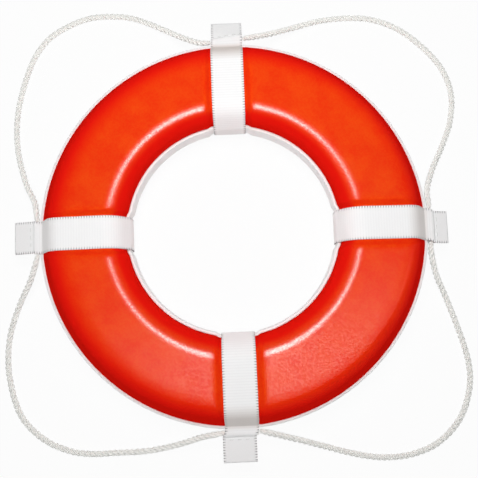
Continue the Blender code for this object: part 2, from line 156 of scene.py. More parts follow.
# %% [markdown]
# ## A skin over rows of points
#
# Rope, thread and webbing have one thing in common: a closed outline that travels along a path.
# Blender's curve bevel can do that, but it can't twist an outline with three lobes or press ribs
# into it. So a flat grid is made with the grid operator, each of its points is moved to its
# place on the rope or strap, the seam is merged and both ends are closed. Each face keeps the
# coordinates that it had along and round the piece in a UV map, and a weave or a yarn then
# follows the piece through every bend.

# %% Helpers that turn rows of points into a piece
def srgb(red, green, blue):
    """A screen colour, from 0 to 255, in linear light."""
    values = [c / 255 for c in (red, green, blue)]
    return tuple(v / 12.92 if v <= 0.04045 else ((v + 0.055) / 1.055) ** 2.4 for v in values)


def add_piece(name, bm, material):
    mesh = bpy.data.meshes.new(name)
    bm.to_mesh(mesh)
    bm.free()
    mesh.shade_smooth()
    mesh.materials.append(material)
    piece = bpy.data.objects.new(name, mesh)
    bpy.context.scene.collection.objects.link(piece)
    return piece


def skin(name, rows, along, across, material):
    """A closed tube over rows[row][column], with its own UVs and flat ends."""
    row_count, column_count = rows.shape[:2]
    bm = bmesh.new()
    bmesh.ops.create_grid(bm, x_segments=column_count, y_segments=row_count - 1, size=1.0)
    uv = bm.loops.layers.uv.new("UVMap")
    places = {}
    for vert in bm.verts:
        column = round((vert.co.x + 1) / 2 * column_count)
        row = round((vert.co.y + 1) / 2 * (row_count - 1))
        places[vert] = (row, column)
    for face in bm.faces:
        for loop in face.loops:
            row, column = places[loop.vert]
            loop[uv].uv = (along[row], across[column])
    for vert, (row, column) in places.items():
        vert.co = rows[row, column % column_count]
    bmesh.ops.remove_doubles(bm, verts=bm.verts, dist=1e-6)
    rims = [edge for edge in bm.edges if edge.is_boundary]
    bmesh.ops.holes_fill(bm, edges=rims, sides=0)
    bmesh.ops.recalc_face_normals(bm, faces=bm.faces)
    return add_piece(name, bm, material)


def corner_uv(piece):
    """Both UV coordinates of each face corner."""
    uv = np.zeros(2 * len(piece.data.loops))
    piece.data.uv_layers["UVMap"].data.foreach_get("uv", uv)
    return uv[::2], uv[1::2]


def store(piece, name, numbers):
    """Store a number with each point of a mesh, given one for each face corner."""
    corners = np.zeros(len(piece.data.loops), dtype=int)
    piece.data.loops.foreach_get("vertex_index", corners)
    values = np.zeros(len(piece.data.vertices))
    values[corners] = numbers
    piece.data.attributes.new(name, "FLOAT", "POINT").data.foreach_set("value", values)


def resample(points, spacing):
    """Evenly spaced points along a polyline, and the distance of each from its start."""
    points = np.array(points, dtype=float)
    steps = np.linalg.norm(np.diff(points, axis=0), axis=1)
    lengths = np.concatenate(([0.0], np.cumsum(steps)))
    count = max(2, round(lengths[-1] / spacing))
    marks = np.linspace(0.0, lengths[-1], count + 1)
    even = np.column_stack([np.interp(marks, lengths, points[:, axis]) for axis in range(3)])
    return even, marks


def carried_frames(points, side):
    """Two directions across a path at each of its points, which don't twist round it."""
    ahead = np.gradient(points, axis=0)
    ahead /= np.linalg.norm(ahead, axis=1)[:, None]
    first = np.empty_like(points)
    side = np.array(side, dtype=float)
    for i, direction in enumerate(ahead):
        side = side - direction * side.dot(direction)
        side /= np.linalg.norm(side)
        first[i] = side
    return first, np.cross(ahead, first)


def rows_round(points, side, angle, radius):
    """Rows of points round a path, from the angle and the radius of each row and column."""
    first, second = carried_frames(points, side)
    return (points[:, None, :] + (radius * np.cos(angle))[:, :, None] * first[:, None, :]
            + (radius * np.sin(angle))[:, :, None] * second[:, None, :])


# %% [markdown]
# ## Shared effects as node groups
#
# White webbing, rope and thread are all spun from the same kind of yarn, and both covers are
# the same kind of dipped vinyl. An effect that several materials share is built once as a node
# group with named inputs and outputs. The groups only put out values, and each material keeps
# its own shader.

# %% Helpers for node trees
def node(tree, kind, inputs=None, **settings):
    """Add a node, set its properties, and set or link its inputs by name or number."""
    made = tree.nodes.new(kind)
    for key, value in settings.items():
        setattr(made, key, value)
    for key, value in (inputs or {}).items():
        if isinstance(value, bpy.types.NodeSocket):
            tree.links.new(value, made.inputs[key])
        else:
            made.inputs[key].default_value = value
    return made


def new_group(name, inputs, outputs):
    tree = bpy.data.node_groups.new(name, "ShaderNodeTree")
    for label, kind, value in inputs:
        socket = tree.interface.new_socket(name=label, in_out="INPUT", socket_type=kind)
        if value is not None:
            socket.default_value = value
    for label, kind in outputs:
        tree.interface.new_socket(name=label, in_out="OUTPUT", socket_type=kind)
    start = tree.nodes.new("NodeGroupInput")
    end = tree.nodes.new("NodeGroupOutput")
    return tree, start.outputs, end.inputs


def maths(tree, operation, first, second):
    return node(tree, "ShaderNodeMath", {0: first, 1: second}, operation=operation).outputs[0]


def times(tree, first, second):
    return maths(tree, "MULTIPLY", first, second)


def ramp(tree, value, low, high):
    """0 below low, 1 above high, and a smooth step between them."""
    return node(tree, "ShaderNodeMapRange", {"Value": value, "From Min": low, "From Max": high},
                interpolation_type="SMOOTHSTEP").outputs["Result"]


def cloudy(tree, place, scale, detail):
    return node(tree, "ShaderNodeTexNoise",
                {"Vector": place, "Scale": scale, "Detail": detail}).outputs["Fac"]


def stored(tree, name):
    """A value that is stored with the points of the mesh."""
    return node(tree, "ShaderNodeAttribute", attribute_name=name).outputs["Fac"]


def mix_colours(tree, share, first, second):
    """A colour between two. Each is a node's output, or screen values from 0 to 255."""
    first, second = (colour if isinstance(colour, bpy.types.NodeSocket) else (*srgb(*colour), 1.0)
                     for colour in (first, second))
    return node(tree, "ShaderNodeMix", {"Factor": share, "A": first, "B": second},
                data_type="RGBA").outputs[2]


def principled(name):
    material = bpy.data.materials.new(name)
    material.use_nodes = True
    shader = material.node_tree.nodes["Principled BSDF"]
    return material, material.node_tree, shader


def dress(tree, shader, colour, roughness, sheen=0.0):
    """Give a shader its colour, its roughness and the soft sheen of cloth."""
    tree.links.new(colour, shader.inputs["Base Color"])
    shader.inputs["Roughness"].default_value = roughness
    shader.inputs["Sheen Weight"].default_value = sheen


def raise_bumps(tree, shader, height, strength, distance, invert=False):
    """Let a height show in how the surface catches the light."""
    bump = node(tree, "ShaderNodeBump",
                {"Strength": strength, "Distance": distance, "Height": height}, invert=invert)
    tree.links.new(bump.outputs["Normal"], shader.inputs["Normal"])


# %% The yarn and vinyl groups
def make_yarn_group():
    """Fine strands along U with a slight spread in how dark each one is."""
    tree, given, out = new_group(
        "yarn",
        [("UV", "NodeSocketVector", None), ("Length", "NodeSocketFloat", 0.006),
         ("Width", "NodeSocketFloat", 0.0004)],
        [("Height", "NodeSocketFloat"), ("Shade", "NodeSocketFloat")])
    split = node(tree, "ShaderNodeSeparateXYZ", {0: given["UV"]})
    along = maths(tree, "DIVIDE", split.outputs["X"], given["Length"])
    across = maths(tree, "DIVIDE", split.outputs["Y"], given["Width"])
    joined = node(tree, "ShaderNodeCombineXYZ", {"X": along, "Y": across})
    fibre = cloudy(tree, joined.outputs[0], 1.0, 3.0)
    tree.links.new(fibre, out["Height"])
    tree.links.new(ramp(tree, fibre, 0.25, 0.75), out["Shade"])
    return tree


def make_vinyl_group():
    """The skin of dipped vinyl: a fine leather-like grain, soft patches and drawn wrinkles."""
    tree, given, out = new_group(
        "vinyl",
        [("Place", "NodeSocketVector", None), ("Grain Size", "NodeSocketFloat", 0.0022),
         ("Wrinkles", "NodeSocketFloat", 0.0)],
        [("Height", "NodeSocketFloat"), ("Mottle", "NodeSocketFloat"),
         ("Speckle", "NodeSocketFloat")])
    place = given["Place"]
    scale = maths(tree, "DIVIDE", 1.0, given["Grain Size"])
    cells = node(tree, "ShaderNodeTexVoronoi", {"Vector": place, "Scale": scale},
                 feature="SMOOTH_F1")
    fine = cloudy(tree, place, scale, 4.0)
    grit = cloudy(tree, place, times(tree, scale, 0.8), 1.0)
    drawn = node(tree, "ShaderNodeTexNoise",
                 {"Vector": place, "Scale": 55.0, "Detail": 4.0, "Distortion": 1.5},
                 noise_type="RIDGED_MULTIFRACTAL")
    grain = maths(tree, "ADD", times(tree, cells.outputs["Distance"], 0.6), times(tree, fine, 0.8))
    wrinkle = times(tree, drawn.outputs["Fac"], given["Wrinkles"])
    tree.links.new(maths(tree, "ADD", grain, wrinkle), out["Height"])
    tree.links.new(cloudy(tree, place, 30.0, 5.0), out["Mottle"])
    tree.links.new(ramp(tree, grit, 0.38, 0.62), out["Speckle"])
    return tree


def add_yarn(tree, uv, length, width):
    return node(tree, "ShaderNodeGroup", {"UV": uv, "Length": length, "Width": width},
                node_tree=YARN)


YARN = make_yarn_group()
VINYL = make_vinyl_group()
print("groups:", YARN.name, VINYL.name)

# %% [markdown]
# ## The rope
#
# The grab line is a laid rope: three strands of white fibre, twisted so that they run like the
# middle stroke of a Z. Three round strands would be three tubes that cut into each other, so the
# outline of all three together is used instead: three lobes with grooves between them, turned
# a little at each step along the line. The grooves are darker, as less light gets into them.

# %% Rope material
def make_rope_material():
    material, tree, shader = principled("rope_fibre")
    uv = node(tree, "ShaderNodeUVMap", uv_map="UVMap").outputs["UV"]
    yarn = add_yarn(tree, uv, 0.009, 0.0009)
    fibre = mix_colours(tree, yarn.outputs["Shade"], (248, 248, 243), (254, 254, 251))
    depth = ramp(tree, stored(tree, "groove"), 0.25, 1.0)
    dress(tree, shader, mix_colours(tree, depth, fibre, (243, 243, 235)), 0.72, sheen=0.15)
    raise_bumps(tree, shader, yarn.outputs["Height"], 0.15, 0.0003)
    return material


rope_material = make_rope_material()
print("material:", rope_material.name)

# %% Rope shape
STRANDS = 3
STRAND_SHARE = 0.27
ROPE_LAY = 0.0262
STEPS_PER_LAY = 24
COLUMNS_PER_STRAND = 9
CAP_ANGLES = np.radians([75, 60, 45, 30, 15])
# a strap pinches the line where it comes out: by this share, and over this length
PINCH = 0.16
PINCHED_LENGTH = 0.012


def lobed_outline():
    """Angle and radius of each column of the rope's outline, and how deep it lies in a groove."""
    strand = STRAND_SHARE * LINE_DIAMETER
    offset = LINE_RADIUS - strand
    outline = []
    for k in range(STRANDS):
        for i in range(COLUMNS_PER_STRAND):
            share = i / COLUMNS_PER_STRAND * 2 - 1
            angle = share * math.pi / STRANDS
            edge = math.sqrt(strand ** 2 - (offset * math.sin(angle)) ** 2)
            radius = offset * math.cos(angle) + edge
            outline.append((angle + k * 2 * math.pi / STRANDS, radius, abs(share) ** 4))
    return np.array(outline)


def lay_rope(name, path, domed):
    """A laid rope along a path; a domed rope has pinched round ends past the path's two points."""
    points, marks = resample(path, ROPE_LAY / STEPS_PER_LAY)
    scale = np.ones(len(points))
    if domed:
        from_end = np.minimum(marks, marks[-1] - marks)
        scale -= PINCH * np.clip(1 - from_end / PINCHED_LENGTH, 0.0, 1.0)
        start = (points[0] - points[1]) / np.linalg.norm(points[0] - points[1])
        end = (points[-1] - points[-2]) / np.linalg.norm(points[-1] - points[-2])
        reach = np.sin(CAP_ANGLES)[:, None] * LINE_RADIUS * (1 - PINCH)
        points = np.vstack((points[0] + start * reach, points, (points[-1] + end * reach)[::-1]))
        marks = np.concatenate((marks[0] - reach[:, 0], marks, (marks[-1] + reach[:, 0])[::-1]))
        cap = np.cos(CAP_ANGLES) * (1 - PINCH)
        scale = np.concatenate((cap, scale, cap[::-1]))
    outline = lobed_outline()
    turn = marks[:, None] / ROPE_LAY * 2 * math.pi + outline[None, :, 0]
    rows = rows_round(points, (0, 0, 1), turn, scale[:, None] * outline[None, :, 1])
    around = np.arange(len(outline) + 1) / len(outline) * math.pi * LINE_DIAMETER
    rope = skin(name, rows, marks, around, rope_material)
    columns = np.round(corner_uv(rope)[1] / around[-1] * len(outline)).astype(int)
    store(rope, "groove", outline[columns % len(outline), 2])
    return rope


# %% [markdown]
# ## The grab line's four free stretches
#
# Between two straps the line hangs over the ring's edge and lies on the floor. Its route is a
# smooth curve through points that were chosen on the photograph: x, y and the height of
# the rope above where it would lie on the floor. Each stretch starts and ends at the mouth of a
# strap, swings about the line between those two ends, and so rides on its own body. The line
# lies askew in the top strap. The ends there follow that slope only in part, so that they don't
# dip into the strap when the line is lifted.

# %% Routes
LINE_ROUTES = {
    "upper_right": ("top", "right", [
        (0.0650, 0.3282, 0.0262), (0.1086, 0.3457, 0.0093), (0.1627, 0.3622, 0.0008),
        (0.2158, 0.3655, 0.0), (0.2575, 0.3593, 0.0), (0.2983, 0.3398, 0.0),
        (0.3376, 0.3050, 0.0), (0.3656, 0.2658, 0.0), (0.3772, 0.2219, 0.0),
        (0.3710, 0.1739, 0.0008), (0.3527, 0.1314, 0.0053), (0.3294, 0.0915, 0.0203),
        (0.3125, 0.0542, 0.0337),
    ]),
    "upper_left": ("left", "top", [
        (-0.3175, 0.0580, 0.0337), (-0.3361, 0.0927, 0.0213), (-0.3555, 0.1503, 0.0043),
        (-0.3592, 0.2038, 0.0), (-0.3502, 0.2572, 0.0), (-0.3323, 0.3109, 0.0),
        (-0.3061, 0.3485, 0.0), (-0.2694, 0.3718, 0.0), (-0.2321, 0.3843, 0.0),
        (-0.1896, 0.3852, 0.0), (-0.1533, 0.3780, 0.0008), (-0.1103, 0.3559, 0.0073),
        (-0.0729, 0.3317, 0.0203), (-0.0471, 0.3164, 0.0323),
    ]),
    "lower_left": ("bottom", "left", [
        (-0.0623, -0.3182, 0.0283), (-0.1015, -0.3314, 0.0123), (-0.1515, -0.3411, 0.0018),
        (-0.1992, -0.3425, 0.0), (-0.2379, -0.3428, 0.0), (-0.2718, -0.3370, 0.0),
        (-0.3103, -0.3195, 0.0), (-0.3442, -0.2878, 0.0), (-0.3616, -0.2488, 0.0),
        (-0.3703, -0.2014, 0.0), (-0.3673, -0.1523, 0.0008), (-0.3493, -0.1048, 0.0093),
        (-0.3259, -0.0671, 0.0263),
    ]),
    "lower_right": ("right", "bottom", [
        (0.3102, -0.0460, 0.0352), (0.3206, -0.0819, 0.0193), (0.3371, -0.1168, 0.0053),
        (0.3543, -0.1661, 0.0), (0.3672, -0.2206, 0.0), (0.3659, -0.2628, 0.0),
        (0.3474, -0.3096, 0.0), (0.3105, -0.3454, 0.0), (0.2660, -0.3624, 0.0),
        (0.2176, -0.3651, 0.0), (0.1703, -0.3564, 0.0008), (0.1220, -0.3412, 0.0073),
        (0.0738, -0.3245, 0.0233),
    ]),
}
print("points:", [len(route) for _, _, route in LINE_ROUTES.values()])

# %% Lay the rope along the routes
# a free stretch starts just outside the strap, and follows the line's slope in it to this share
ROPE_START = PIVOT_SIDEWAYS + 0.0016
SWINGING_SHARE = 0.7


def turned(angle):
    return Matrix.Rotation(angle, 3, "Z")


def strap_turn(side):
    return turned(math.radians(STRAPS[side][0]))


def in_strap(side, sideways, share=1.0):
    """The middle of the line in a strap, at a distance sideways from the strap's own middle."""
    slack, askew = STRAPS[side][1], STRAPS[side][5]
    offset = LINE_OFFSET + slack + share * askew * sideways / STRAP_WIDTH
    return strap_turn(side) @ Vector((offset, sideways, LINE_HEIGHT))


def smooth_route(route, steps=24):
    """Points on a smooth curve through the route's points, none lower than the floor lets."""
    ends = [2 * route[0] - route[1], *route, 2 * route[-1] - route[-2]]
    fine = []
    for a, b, c, d in zip(ends, ends[1:], ends[2:], ends[3:]):
        for i in range(steps):
            t = i / steps
            fine.append(0.5 * (2 * b + (c - a) * t + (2 * a - 5 * b + 4 * c - d) * t * t
                               + (3 * b - a - 3 * c + d) * t * t * t))
    fine.append(route[-1])
    return [(p.x, p.y, max(p.z, LINE_RADIUS)) for p in fine]


for name, (first, last, route) in LINE_ROUTES.items():
    ahead = (STRAPS[last][0] - STRAPS[first][0]) % 360 < 180
    sign = 1 if ahead else -1
    start = in_strap(first, sign * ROPE_START, SWINGING_SHARE)
    end = in_strap(last, -sign * ROPE_START, SWINGING_SHARE)
    middle = [Vector((x, y, LINE_RADIUS + height)) for x, y, height in route]
    path = smooth_route([start, *middle, end])
    rope = lay_rope("rope_" + name, path, domed=True)
    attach(rope, "line_" + name)
    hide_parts("grab_line_" + name)

# %% The line inside each strap
# an askew stretch is a little shorter, which keeps it clear of the lifted line
for side in STRAPS:
    half = STRAP_WIDTH / 2 - 2 * FIT_GAP - abs(STRAPS[side][5]) / 4
    held = lay_rope("held_rope_" + side, [in_strap(side, -half), in_strap(side, half)], domed=False)
    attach(held, "ring")
    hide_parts("line_in_" + side + "_strap")
    print(f"{held.name}: {2 * half:.3f} m, {len(held.data.polygons)} faces")

# %% [markdown]
# ## The straps
#
# Each strap is one length of 2 inch webbing. It goes round the ring and the line, and its two
# ends are closed into a tab outside the line. Seen from the side its path is a belt over round
# stops: the line, the shoulders and the rim. So the path is worked out as a belt is, from
# straight runs that touch two circles and the arcs between them. The stops come from the sizes
# above.

# %% The belt round the ring
BELT_STEP = math.radians(5)


def belt_headings(stops):
    """Heading of each straight run of a belt, and its turn round each stop between them."""
    headings = []
    for (x1, z1, r1), (x2, z2, r2) in zip(stops, stops[1:]):
        length = math.hypot(x2 - x1, z2 - z1)
        headings.append(math.atan2(z2 - z1, x2 - x1) - math.asin((r2 - r1) / length))
    turns = []
    for (_, _, radius), before, after in zip(stops[1:-1], headings, headings[1:]):
        turn = (after - before) % (4 * QUARTER)
        turns.append(turn if radius > 0 else turn - 4 * QUARTER)
    return headings, turns


def belt(stops):
    """A line that runs like a belt over round stops, each (x, z, radius), left turns positive."""
    headings, turns = belt_headings(stops)
    while max(abs(turn) for turn in turns) > 3 * QUARTER:
        missed = max(range(len(turns)), key=lambda i: abs(turns[i]))
        stops = stops[:missed + 1] + stops[missed + 2:]
        headings, turns = belt_headings(stops)
    points = [stops[0][:2]]
    for (x, z, radius), before, turn in zip(stops[1:-1], headings, turns):
        count = max(1, math.ceil(abs(turn) / BELT_STEP))
        for i in range(count + 1):
            heading = before + turn * i / count
            points.append((x + radius * math.sin(heading), z - radius * math.cos(heading)))
    points.append(stops[-1][:2])
    return points


def tab_frame(slack, droop):
    """The crease of a tab in the strap's own plane, the way out along the tab, and its normal."""
    out = Vector((math.cos(droop), -math.sin(droop)))
    normal = Vector((math.sin(droop), math.cos(droop)))
    crease = Vector((LINE_OFFSET + slack, LINE_HEIGHT)) + out * CREASE_DISTANCE
    return crease, out, normal


def strap_line(slack, droop, tab_length):
    """Mid-line of one strap: from its tab over the line, round the ring and back under the line."""
    crease, out, normal = tab_frame(slack, droop)
    layer = (FIT_GAP + STRAP_THICKNESS) / 2
    bend = layer + CREASE_RADIUS
    end = crease + out * tab_length
    outer = OUTER_RADIUS - CHANNEL_OUTSIDE
    inner = OPENING_RADIUS + CHANNEL_INSIDE
    front_outer = FRONT_OUTER - CHANNEL_OUTSIDE
    front_inner = FRONT_INNER + CHANNEL_INSIDE
    rounding_x = ROUNDING_OFFSET - CHANNEL_OUTSIDE
    slope_run = front_outer - rounding_x - ROUNDING * math.sin(OUTER_SLOPE)
    half_slope = math.atan2(SLOPE_TOP - CHANNEL_FRONT - RIM_HEIGHT, slope_run) / 2
    rim_bend_x = front_outer + (RIM_BEND + STRAP_MIDDLE) * math.tan(half_slope)
    rear_z = CHANNEL_BACK + REAR_SHOULDER
    line = (LINE_OFFSET + slack, LINE_HEIGHT, LINE_RADIUS + STRAP_MIDDLE)
    return belt([
        (*(end + normal * layer), 0.0),
        (*(crease + normal * bend), -CREASE_RADIUS),
        line,
        (rim_bend_x, RIM_HEIGHT + STRAP_MIDDLE + RIM_BEND, -RIM_BEND),
        (rounding_x, ROUNDING_HEIGHT - CHANNEL_FRONT, ROUNDING + STRAP_MIDDLE),
        (front_inner + SHOULDER, THICKNESS - CHANNEL_FRONT - SHOULDER, SHOULDER + STRAP_MIDDLE),
        (inner + RIM_ROUNDING, RIM_HEIGHT - RIM_ROUNDING, RIM_ROUNDING + STRAP_MIDDLE),
        (inner + REAR_SHOULDER, rear_z, REAR_SHOULDER + STRAP_MIDDLE),
        (outer - REAR_SHOULDER, rear_z, REAR_SHOULDER + STRAP_MIDDLE),
        line,
        (*(crease - normal * bend), -CREASE_RADIUS),
        (*(end - normal * layer), 0.0),
    ])


for side, (_, slack, droop, tab_length, _, _) in STRAPS.items():
    line = strap_line(slack, math.radians(droop), tab_length)
    print(f"{side}: {sum(math.dist(a, b) for a, b in zip(line, line[1:])):.3f} m of webbing")

# %% Webbing material
RIB_SPACING = 0.0040
WARP_SPACING = 0.0014


def make_webbing_material():
    """White woven webbing: ribs and yarns, with painted shade in rib valleys, edge loops and tab
    ends.
    """
    material, tree, shader = principled("webbing_weave")
    uv = node(tree, "ShaderNodeUVMap", uv_map="UVMap").outputs["UV"]
    split = node(tree, "ShaderNodeSeparateXYZ", {0: uv})
    rib = maths(tree, "SINE", times(tree, split.outputs["X"], 2 * math.pi / RIB_SPACING), 0.0)
    warp = maths(tree, "SINE", times(tree, split.outputs["Y"], 2 * math.pi / WARP_SPACING), 0.0)
    weave = times(tree, rib, warp)
    yarn = add_yarn(tree, uv, 0.004, 0.0005)
    valley = ramp(tree, rib, 0.2, -0.8)
    # painted shade between the edge loops, and along the tab's cut end
    edge_shade = maths(tree, "MAXIMUM", times(tree, stored(tree, "selvedge"), valley),
                times(tree, stored(tree, "end_shade"), 0.45))
    cloth = mix_colours(tree, yarn.outputs["Shade"], (252, 251, 251), (255, 255, 255))
    # painted shade in the rib valleys
    rib_shade = times(tree, valley, times(tree, stored(tree, "ribbed"), 0.15))
    ribbed = mix_colours(tree, rib_shade, cloth, (228, 226, 228))
    # painted shade, warmed by painted orange reflected light, where the strap bends over the
    # shoulder
    greyed = mix_colours(tree, stored(tree, "bend_shade"), ribbed, (220, 206, 198))
    dress(tree, shader, mix_colours(tree, edge_shade, greyed, (78, 78, 84)), 0.7, sheen=0.2)
    height = maths(tree, "ADD", times(tree, weave, 0.5), yarn.outputs["Height"])
    raise_bumps(tree, shader, height, 0.35, 0.0002)
    return material


webbing_material = make_webbing_material()
print("material:", webbing_material.name)

# %% Webbing shape
ROWS_PER_RIB = 8
FACE_COLUMNS = 14
EDGE_COLUMNS = 3
RIB_DEPTH = 0.00004
SELVEDGE = 0.0024
EDGE_LOOPS = 0.0003
# width of the painted shade along each tab's cut end
END_SHADE_WIDTH = 0.0016
# an askew strap's tab runs square again this far past its crease
TAB_SQUARES_IN = 0.012
# how much painted shade, warmed by painted orange reflected light, the webbing gets where it
# bends over the outer shoulder, and the radii over which that fades in and out again
BEND_SHADE = {"right": 0.5, "top": 0.9, "left": 0.2, "bottom": 0.6}
BEND_SHADE_RADII = (0.262, 0.284, 0.298, 0.306)


def webbing_outline():
    """The strap's outline across: sideways place, height, and 1 at the woven edge, 0 inside."""
    half_height = STRAP_THICKNESS / 2
    half_width = STRAP_WIDTH / 2 - half_height
    outline = []
    for sign in (1, -1):
        for i in range(FACE_COLUMNS):
            sideways = sign * half_width * (2 * i / (FACE_COLUMNS - 1) - 1)
            inset = half_width - abs(sideways)
            outline.append((sideways, sign * half_height, max(0.0, 1 - inset / SELVEDGE)))
        for i in range(EDGE_COLUMNS):
            angle = math.pi / 2 - math.pi * (i + 1) / (EDGE_COLUMNS + 1)
            outline.append((sign * (half_width + half_height * math.cos(angle)),
                            sign * half_height * math.sin(angle), 1.0))
    return np.array(outline)


def past_rim(x):
    """0 over the ring, 1 from the crease of a tab outwards."""
    share = (x - OUTER_RADIUS) / (LINE_OFFSET + CREASE_DISTANCE - OUTER_RADIUS)
    share = np.clip(share, 0.0, 1.0)
    return share * share * (3 - 2 * share)


def weave_strap(side):
    """Sweep the webbing's outline along the belt, with ribs across it and loops at its edges."""
    _, slack, droop, tab_length, drift, askew = STRAPS[side]
    flat = [(x, 0.0, z) for x, z in strap_line(slack, math.radians(droop), tab_length)]
    points, marks = resample(flat, RIB_SPACING / ROWS_PER_RIB)
    ahead = np.gradient(points, axis=0)
    ahead /= np.linalg.norm(ahead, axis=1)[:, None]
    normal = np.column_stack((-ahead[:, 2], np.zeros(len(ahead)), ahead[:, 0]))
    sideways = np.array((0.0, 1.0, 0.0))
    outline = webbing_outline()
    wave = np.cos(2 * math.pi * marks / RIB_SPACING)[:, None]
    place, face, woven_edge = outline[None, :, 0], outline[None, :, 1], outline[None, :, 2]
    on_ring = 1 - past_rim(points[:, 0])
    ribs = RIB_DEPTH * wave * on_ring[:, None]
    across = place + np.sign(place) * woven_edge * EDGE_LOOPS * wave
    height = face + np.sign(face) * ribs * (1 - woven_edge)
    rows = (points[:, None, :] + across[:, :, None] * sideways
            + height[:, :, None] * normal[:, None, :])
    loose = past_rim(rows[:, :, 0])
    past_crease = rows[:, :, 0] - LINE_OFFSET - slack - CREASE_DISTANCE
    square = np.clip(past_crease / TAB_SQUARES_IN, 0.0, 1.0)
    rows[:, :, 0] += loose * (1 - square) * askew * rows[:, :, 1] / STRAP_WIDTH
    rows[:, :, 1] += loose * drift
    rows = rows @ np.array(strap_turn(side)).T
    places = np.concatenate((outline[:, 0], outline[:1, 0])) + STRAP_WIDTH
    strap = skin("webbing_" + side, rows, marks, places, webbing_material)
    # painted shade, warmed by painted orange reflected light, where the strap bends over the
    # shoulder
    over_shoulder = np.interp(points[:, 0], BEND_SHADE_RADII, (0.0, 1.0, 1.0, 0.0))
    bend_shade = BEND_SHADE[side] * over_shoulder * (points[:, 2] > RIM_HEIGHT)
    # painted shade along the tab's cut end
    end_shade = np.clip(1 - np.minimum(marks, marks[-1] - marks) / END_SHADE_WIDTH, 0.0, 1.0)
    along, over = corner_uv(strap)
    inset = STRAP_WIDTH / 2 - np.abs(over - STRAP_WIDTH)
    store(strap, "selvedge", np.clip(1 - inset / SELVEDGE, 0.0, 1.0))
    for name, numbers in (("ribbed", on_ring), ("bend_shade", bend_shade), ("end_shade", end_shade)):
        store(strap, name, np.interp(along, marks, numbers))
    return strap


for side in STRAPS:
    strap = weave_strap(side)
    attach(strap, "ring")
    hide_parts("strap_" + side)
    print(f"{strap.name}: {len(strap.data.polygons)} faces")

# %% [markdown]
# ## The stitching
#
# A tab is held shut by one row of stitches close to the crease. A sewn thread shows as short
# bars, because it dives through the cloth between them. Its path is a wave with flat tops.

# %% Sew the tabs
THREAD_DIAMETER = 0.0009
STITCH_LENGTH = 0.006
STITCH_PAIRS = 4
STITCH_INSET = 0.003
THREAD_TAIL = 0.002
THREAD_SPACING = 0.0002
THREAD_COLUMNS = 8
STITCH_SQUARENESS = 5.0


def make_thread_material():
    material, tree, shader = principled("sewing_thread")
    uv = node(tree, "ShaderNodeUVMap", uv_map="UVMap").outputs["UV"]
    yarn = add_yarn(tree, uv, 0.0012, 0.0003)
    colour = mix_colours(tree, yarn.outputs["Shade"], (208, 208, 206), (236, 236, 234))
    dress(tree, shader, colour, 0.55)
    raise_bumps(tree, shader, yarn.outputs["Height"], 0.4, 0.0001)
    return material


thread_material = make_thread_material()


def sew_tab(side):
    _, slack, droop, _, drift, askew = STRAPS[side]
    crease, out, normal = tab_frame(slack, math.radians(droop))
    rise = FIT_GAP / 2 + STRAP_THICKNESS + FIT_GAP + THREAD_DIAMETER / 2
    span = (2 * STITCH_PAIRS - 1) * STITCH_LENGTH
    places = np.arange(-span / 2 - THREAD_TAIL, span / 2 + THREAD_TAIL, THREAD_SPACING)
    swing = np.sin((places + span / 2) / STITCH_LENGTH * math.pi)
    heights = -rise * np.tanh(STITCH_SQUARENESS * swing) / math.tanh(STITCH_SQUARENESS)
    path = []
    for sideways, height in zip(places, heights):
        flat = crease + out * STITCH_INSET + normal * height
        place = Vector((flat.x + askew * sideways / STRAP_WIDTH, sideways + drift, flat.y))
        path.append(strap_turn(side) @ place)
    points, marks = resample(path, THREAD_SPACING)
    angle = np.arange(THREAD_COLUMNS)[None, :] / THREAD_COLUMNS * 2 * math.pi
    rows = rows_round(points, path[-1] - path[0], angle, THREAD_DIAMETER / 2)
    around = np.arange(THREAD_COLUMNS + 1) / THREAD_COLUMNS * math.pi * THREAD_DIAMETER
    return skin("tab_stitches_" + side, rows, marks, around, thread_material)


for side in STRAPS:
    stitches = sew_tab(side)
    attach(stitches, "ring")
    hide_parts("stitching_" + side)
    print(f"{stitches.name}: {len(stitches.data.polygons)} faces")

# %% [markdown]
# ## The covers
#
# Both covers are turned shapes, so each starts as a closed outline that is spun a full turn
# about the ring's axis. The straps lie in shallow channels. They are pressed in afterwards: the
# spin gives columns of points, those near a strap are moved into lines beside it, and these are
# lowered with a smooth slope. The plateau between two straps gets soft corners that way.

# %% The covers' sections
SHOULDER_STEP = math.radians(5)
BEAD_STEP = math.radians(15)
PLATEAU_RINGS = 10
SLOPE_RINGS = 8


def arc(centre_x, centre_z, radius, start, end, step=SHOULDER_STEP):
    """Points on an arc in the section's plane, from one angle to another, both included."""
    count = max(1, round(abs(end - start) / step))
    points = []
    for i in range(count + 1):
        angle = start + (end - start) * i / count
        points.append((centre_x + radius * math.cos(angle), centre_z + radius * math.sin(angle)))
    return points


def between(first, last, count):
    """Points inside the straight run from one point to another."""
    return [tuple(a + (b - a) * i / count for a, b in zip(first, last)) for i in range(1, count)]


def front_line(inset):
    """From the front cover's outer foot up, over its face and down the inner shoulder."""
    slope_end = QUARTER - OUTER_SLOPE
    corner = (FRONT_OUTER - inset, RIM_HEIGHT - inset * math.tan(slope_end / 2))
    outside = arc(ROUNDING_OFFSET, ROUNDING_HEIGHT, ROUNDING - inset, slope_end, QUARTER)
    slope = between(corner, outside[0], SLOPE_RINGS)
    inside = arc(FRONT_INNER + SHOULDER, THICKNESS - SHOULDER, SHOULDER - inset,
                 QUARTER, 2 * QUARTER)
    plateau = between(outside[-1], inside[0], PLATEAU_RINGS)
    return [(FRONT_OUTER - inset, RIM_FOOT), corner, *slope, *outside, *plateau, *inside,
            (FRONT_INNER + inset, RIM_FOOT)]


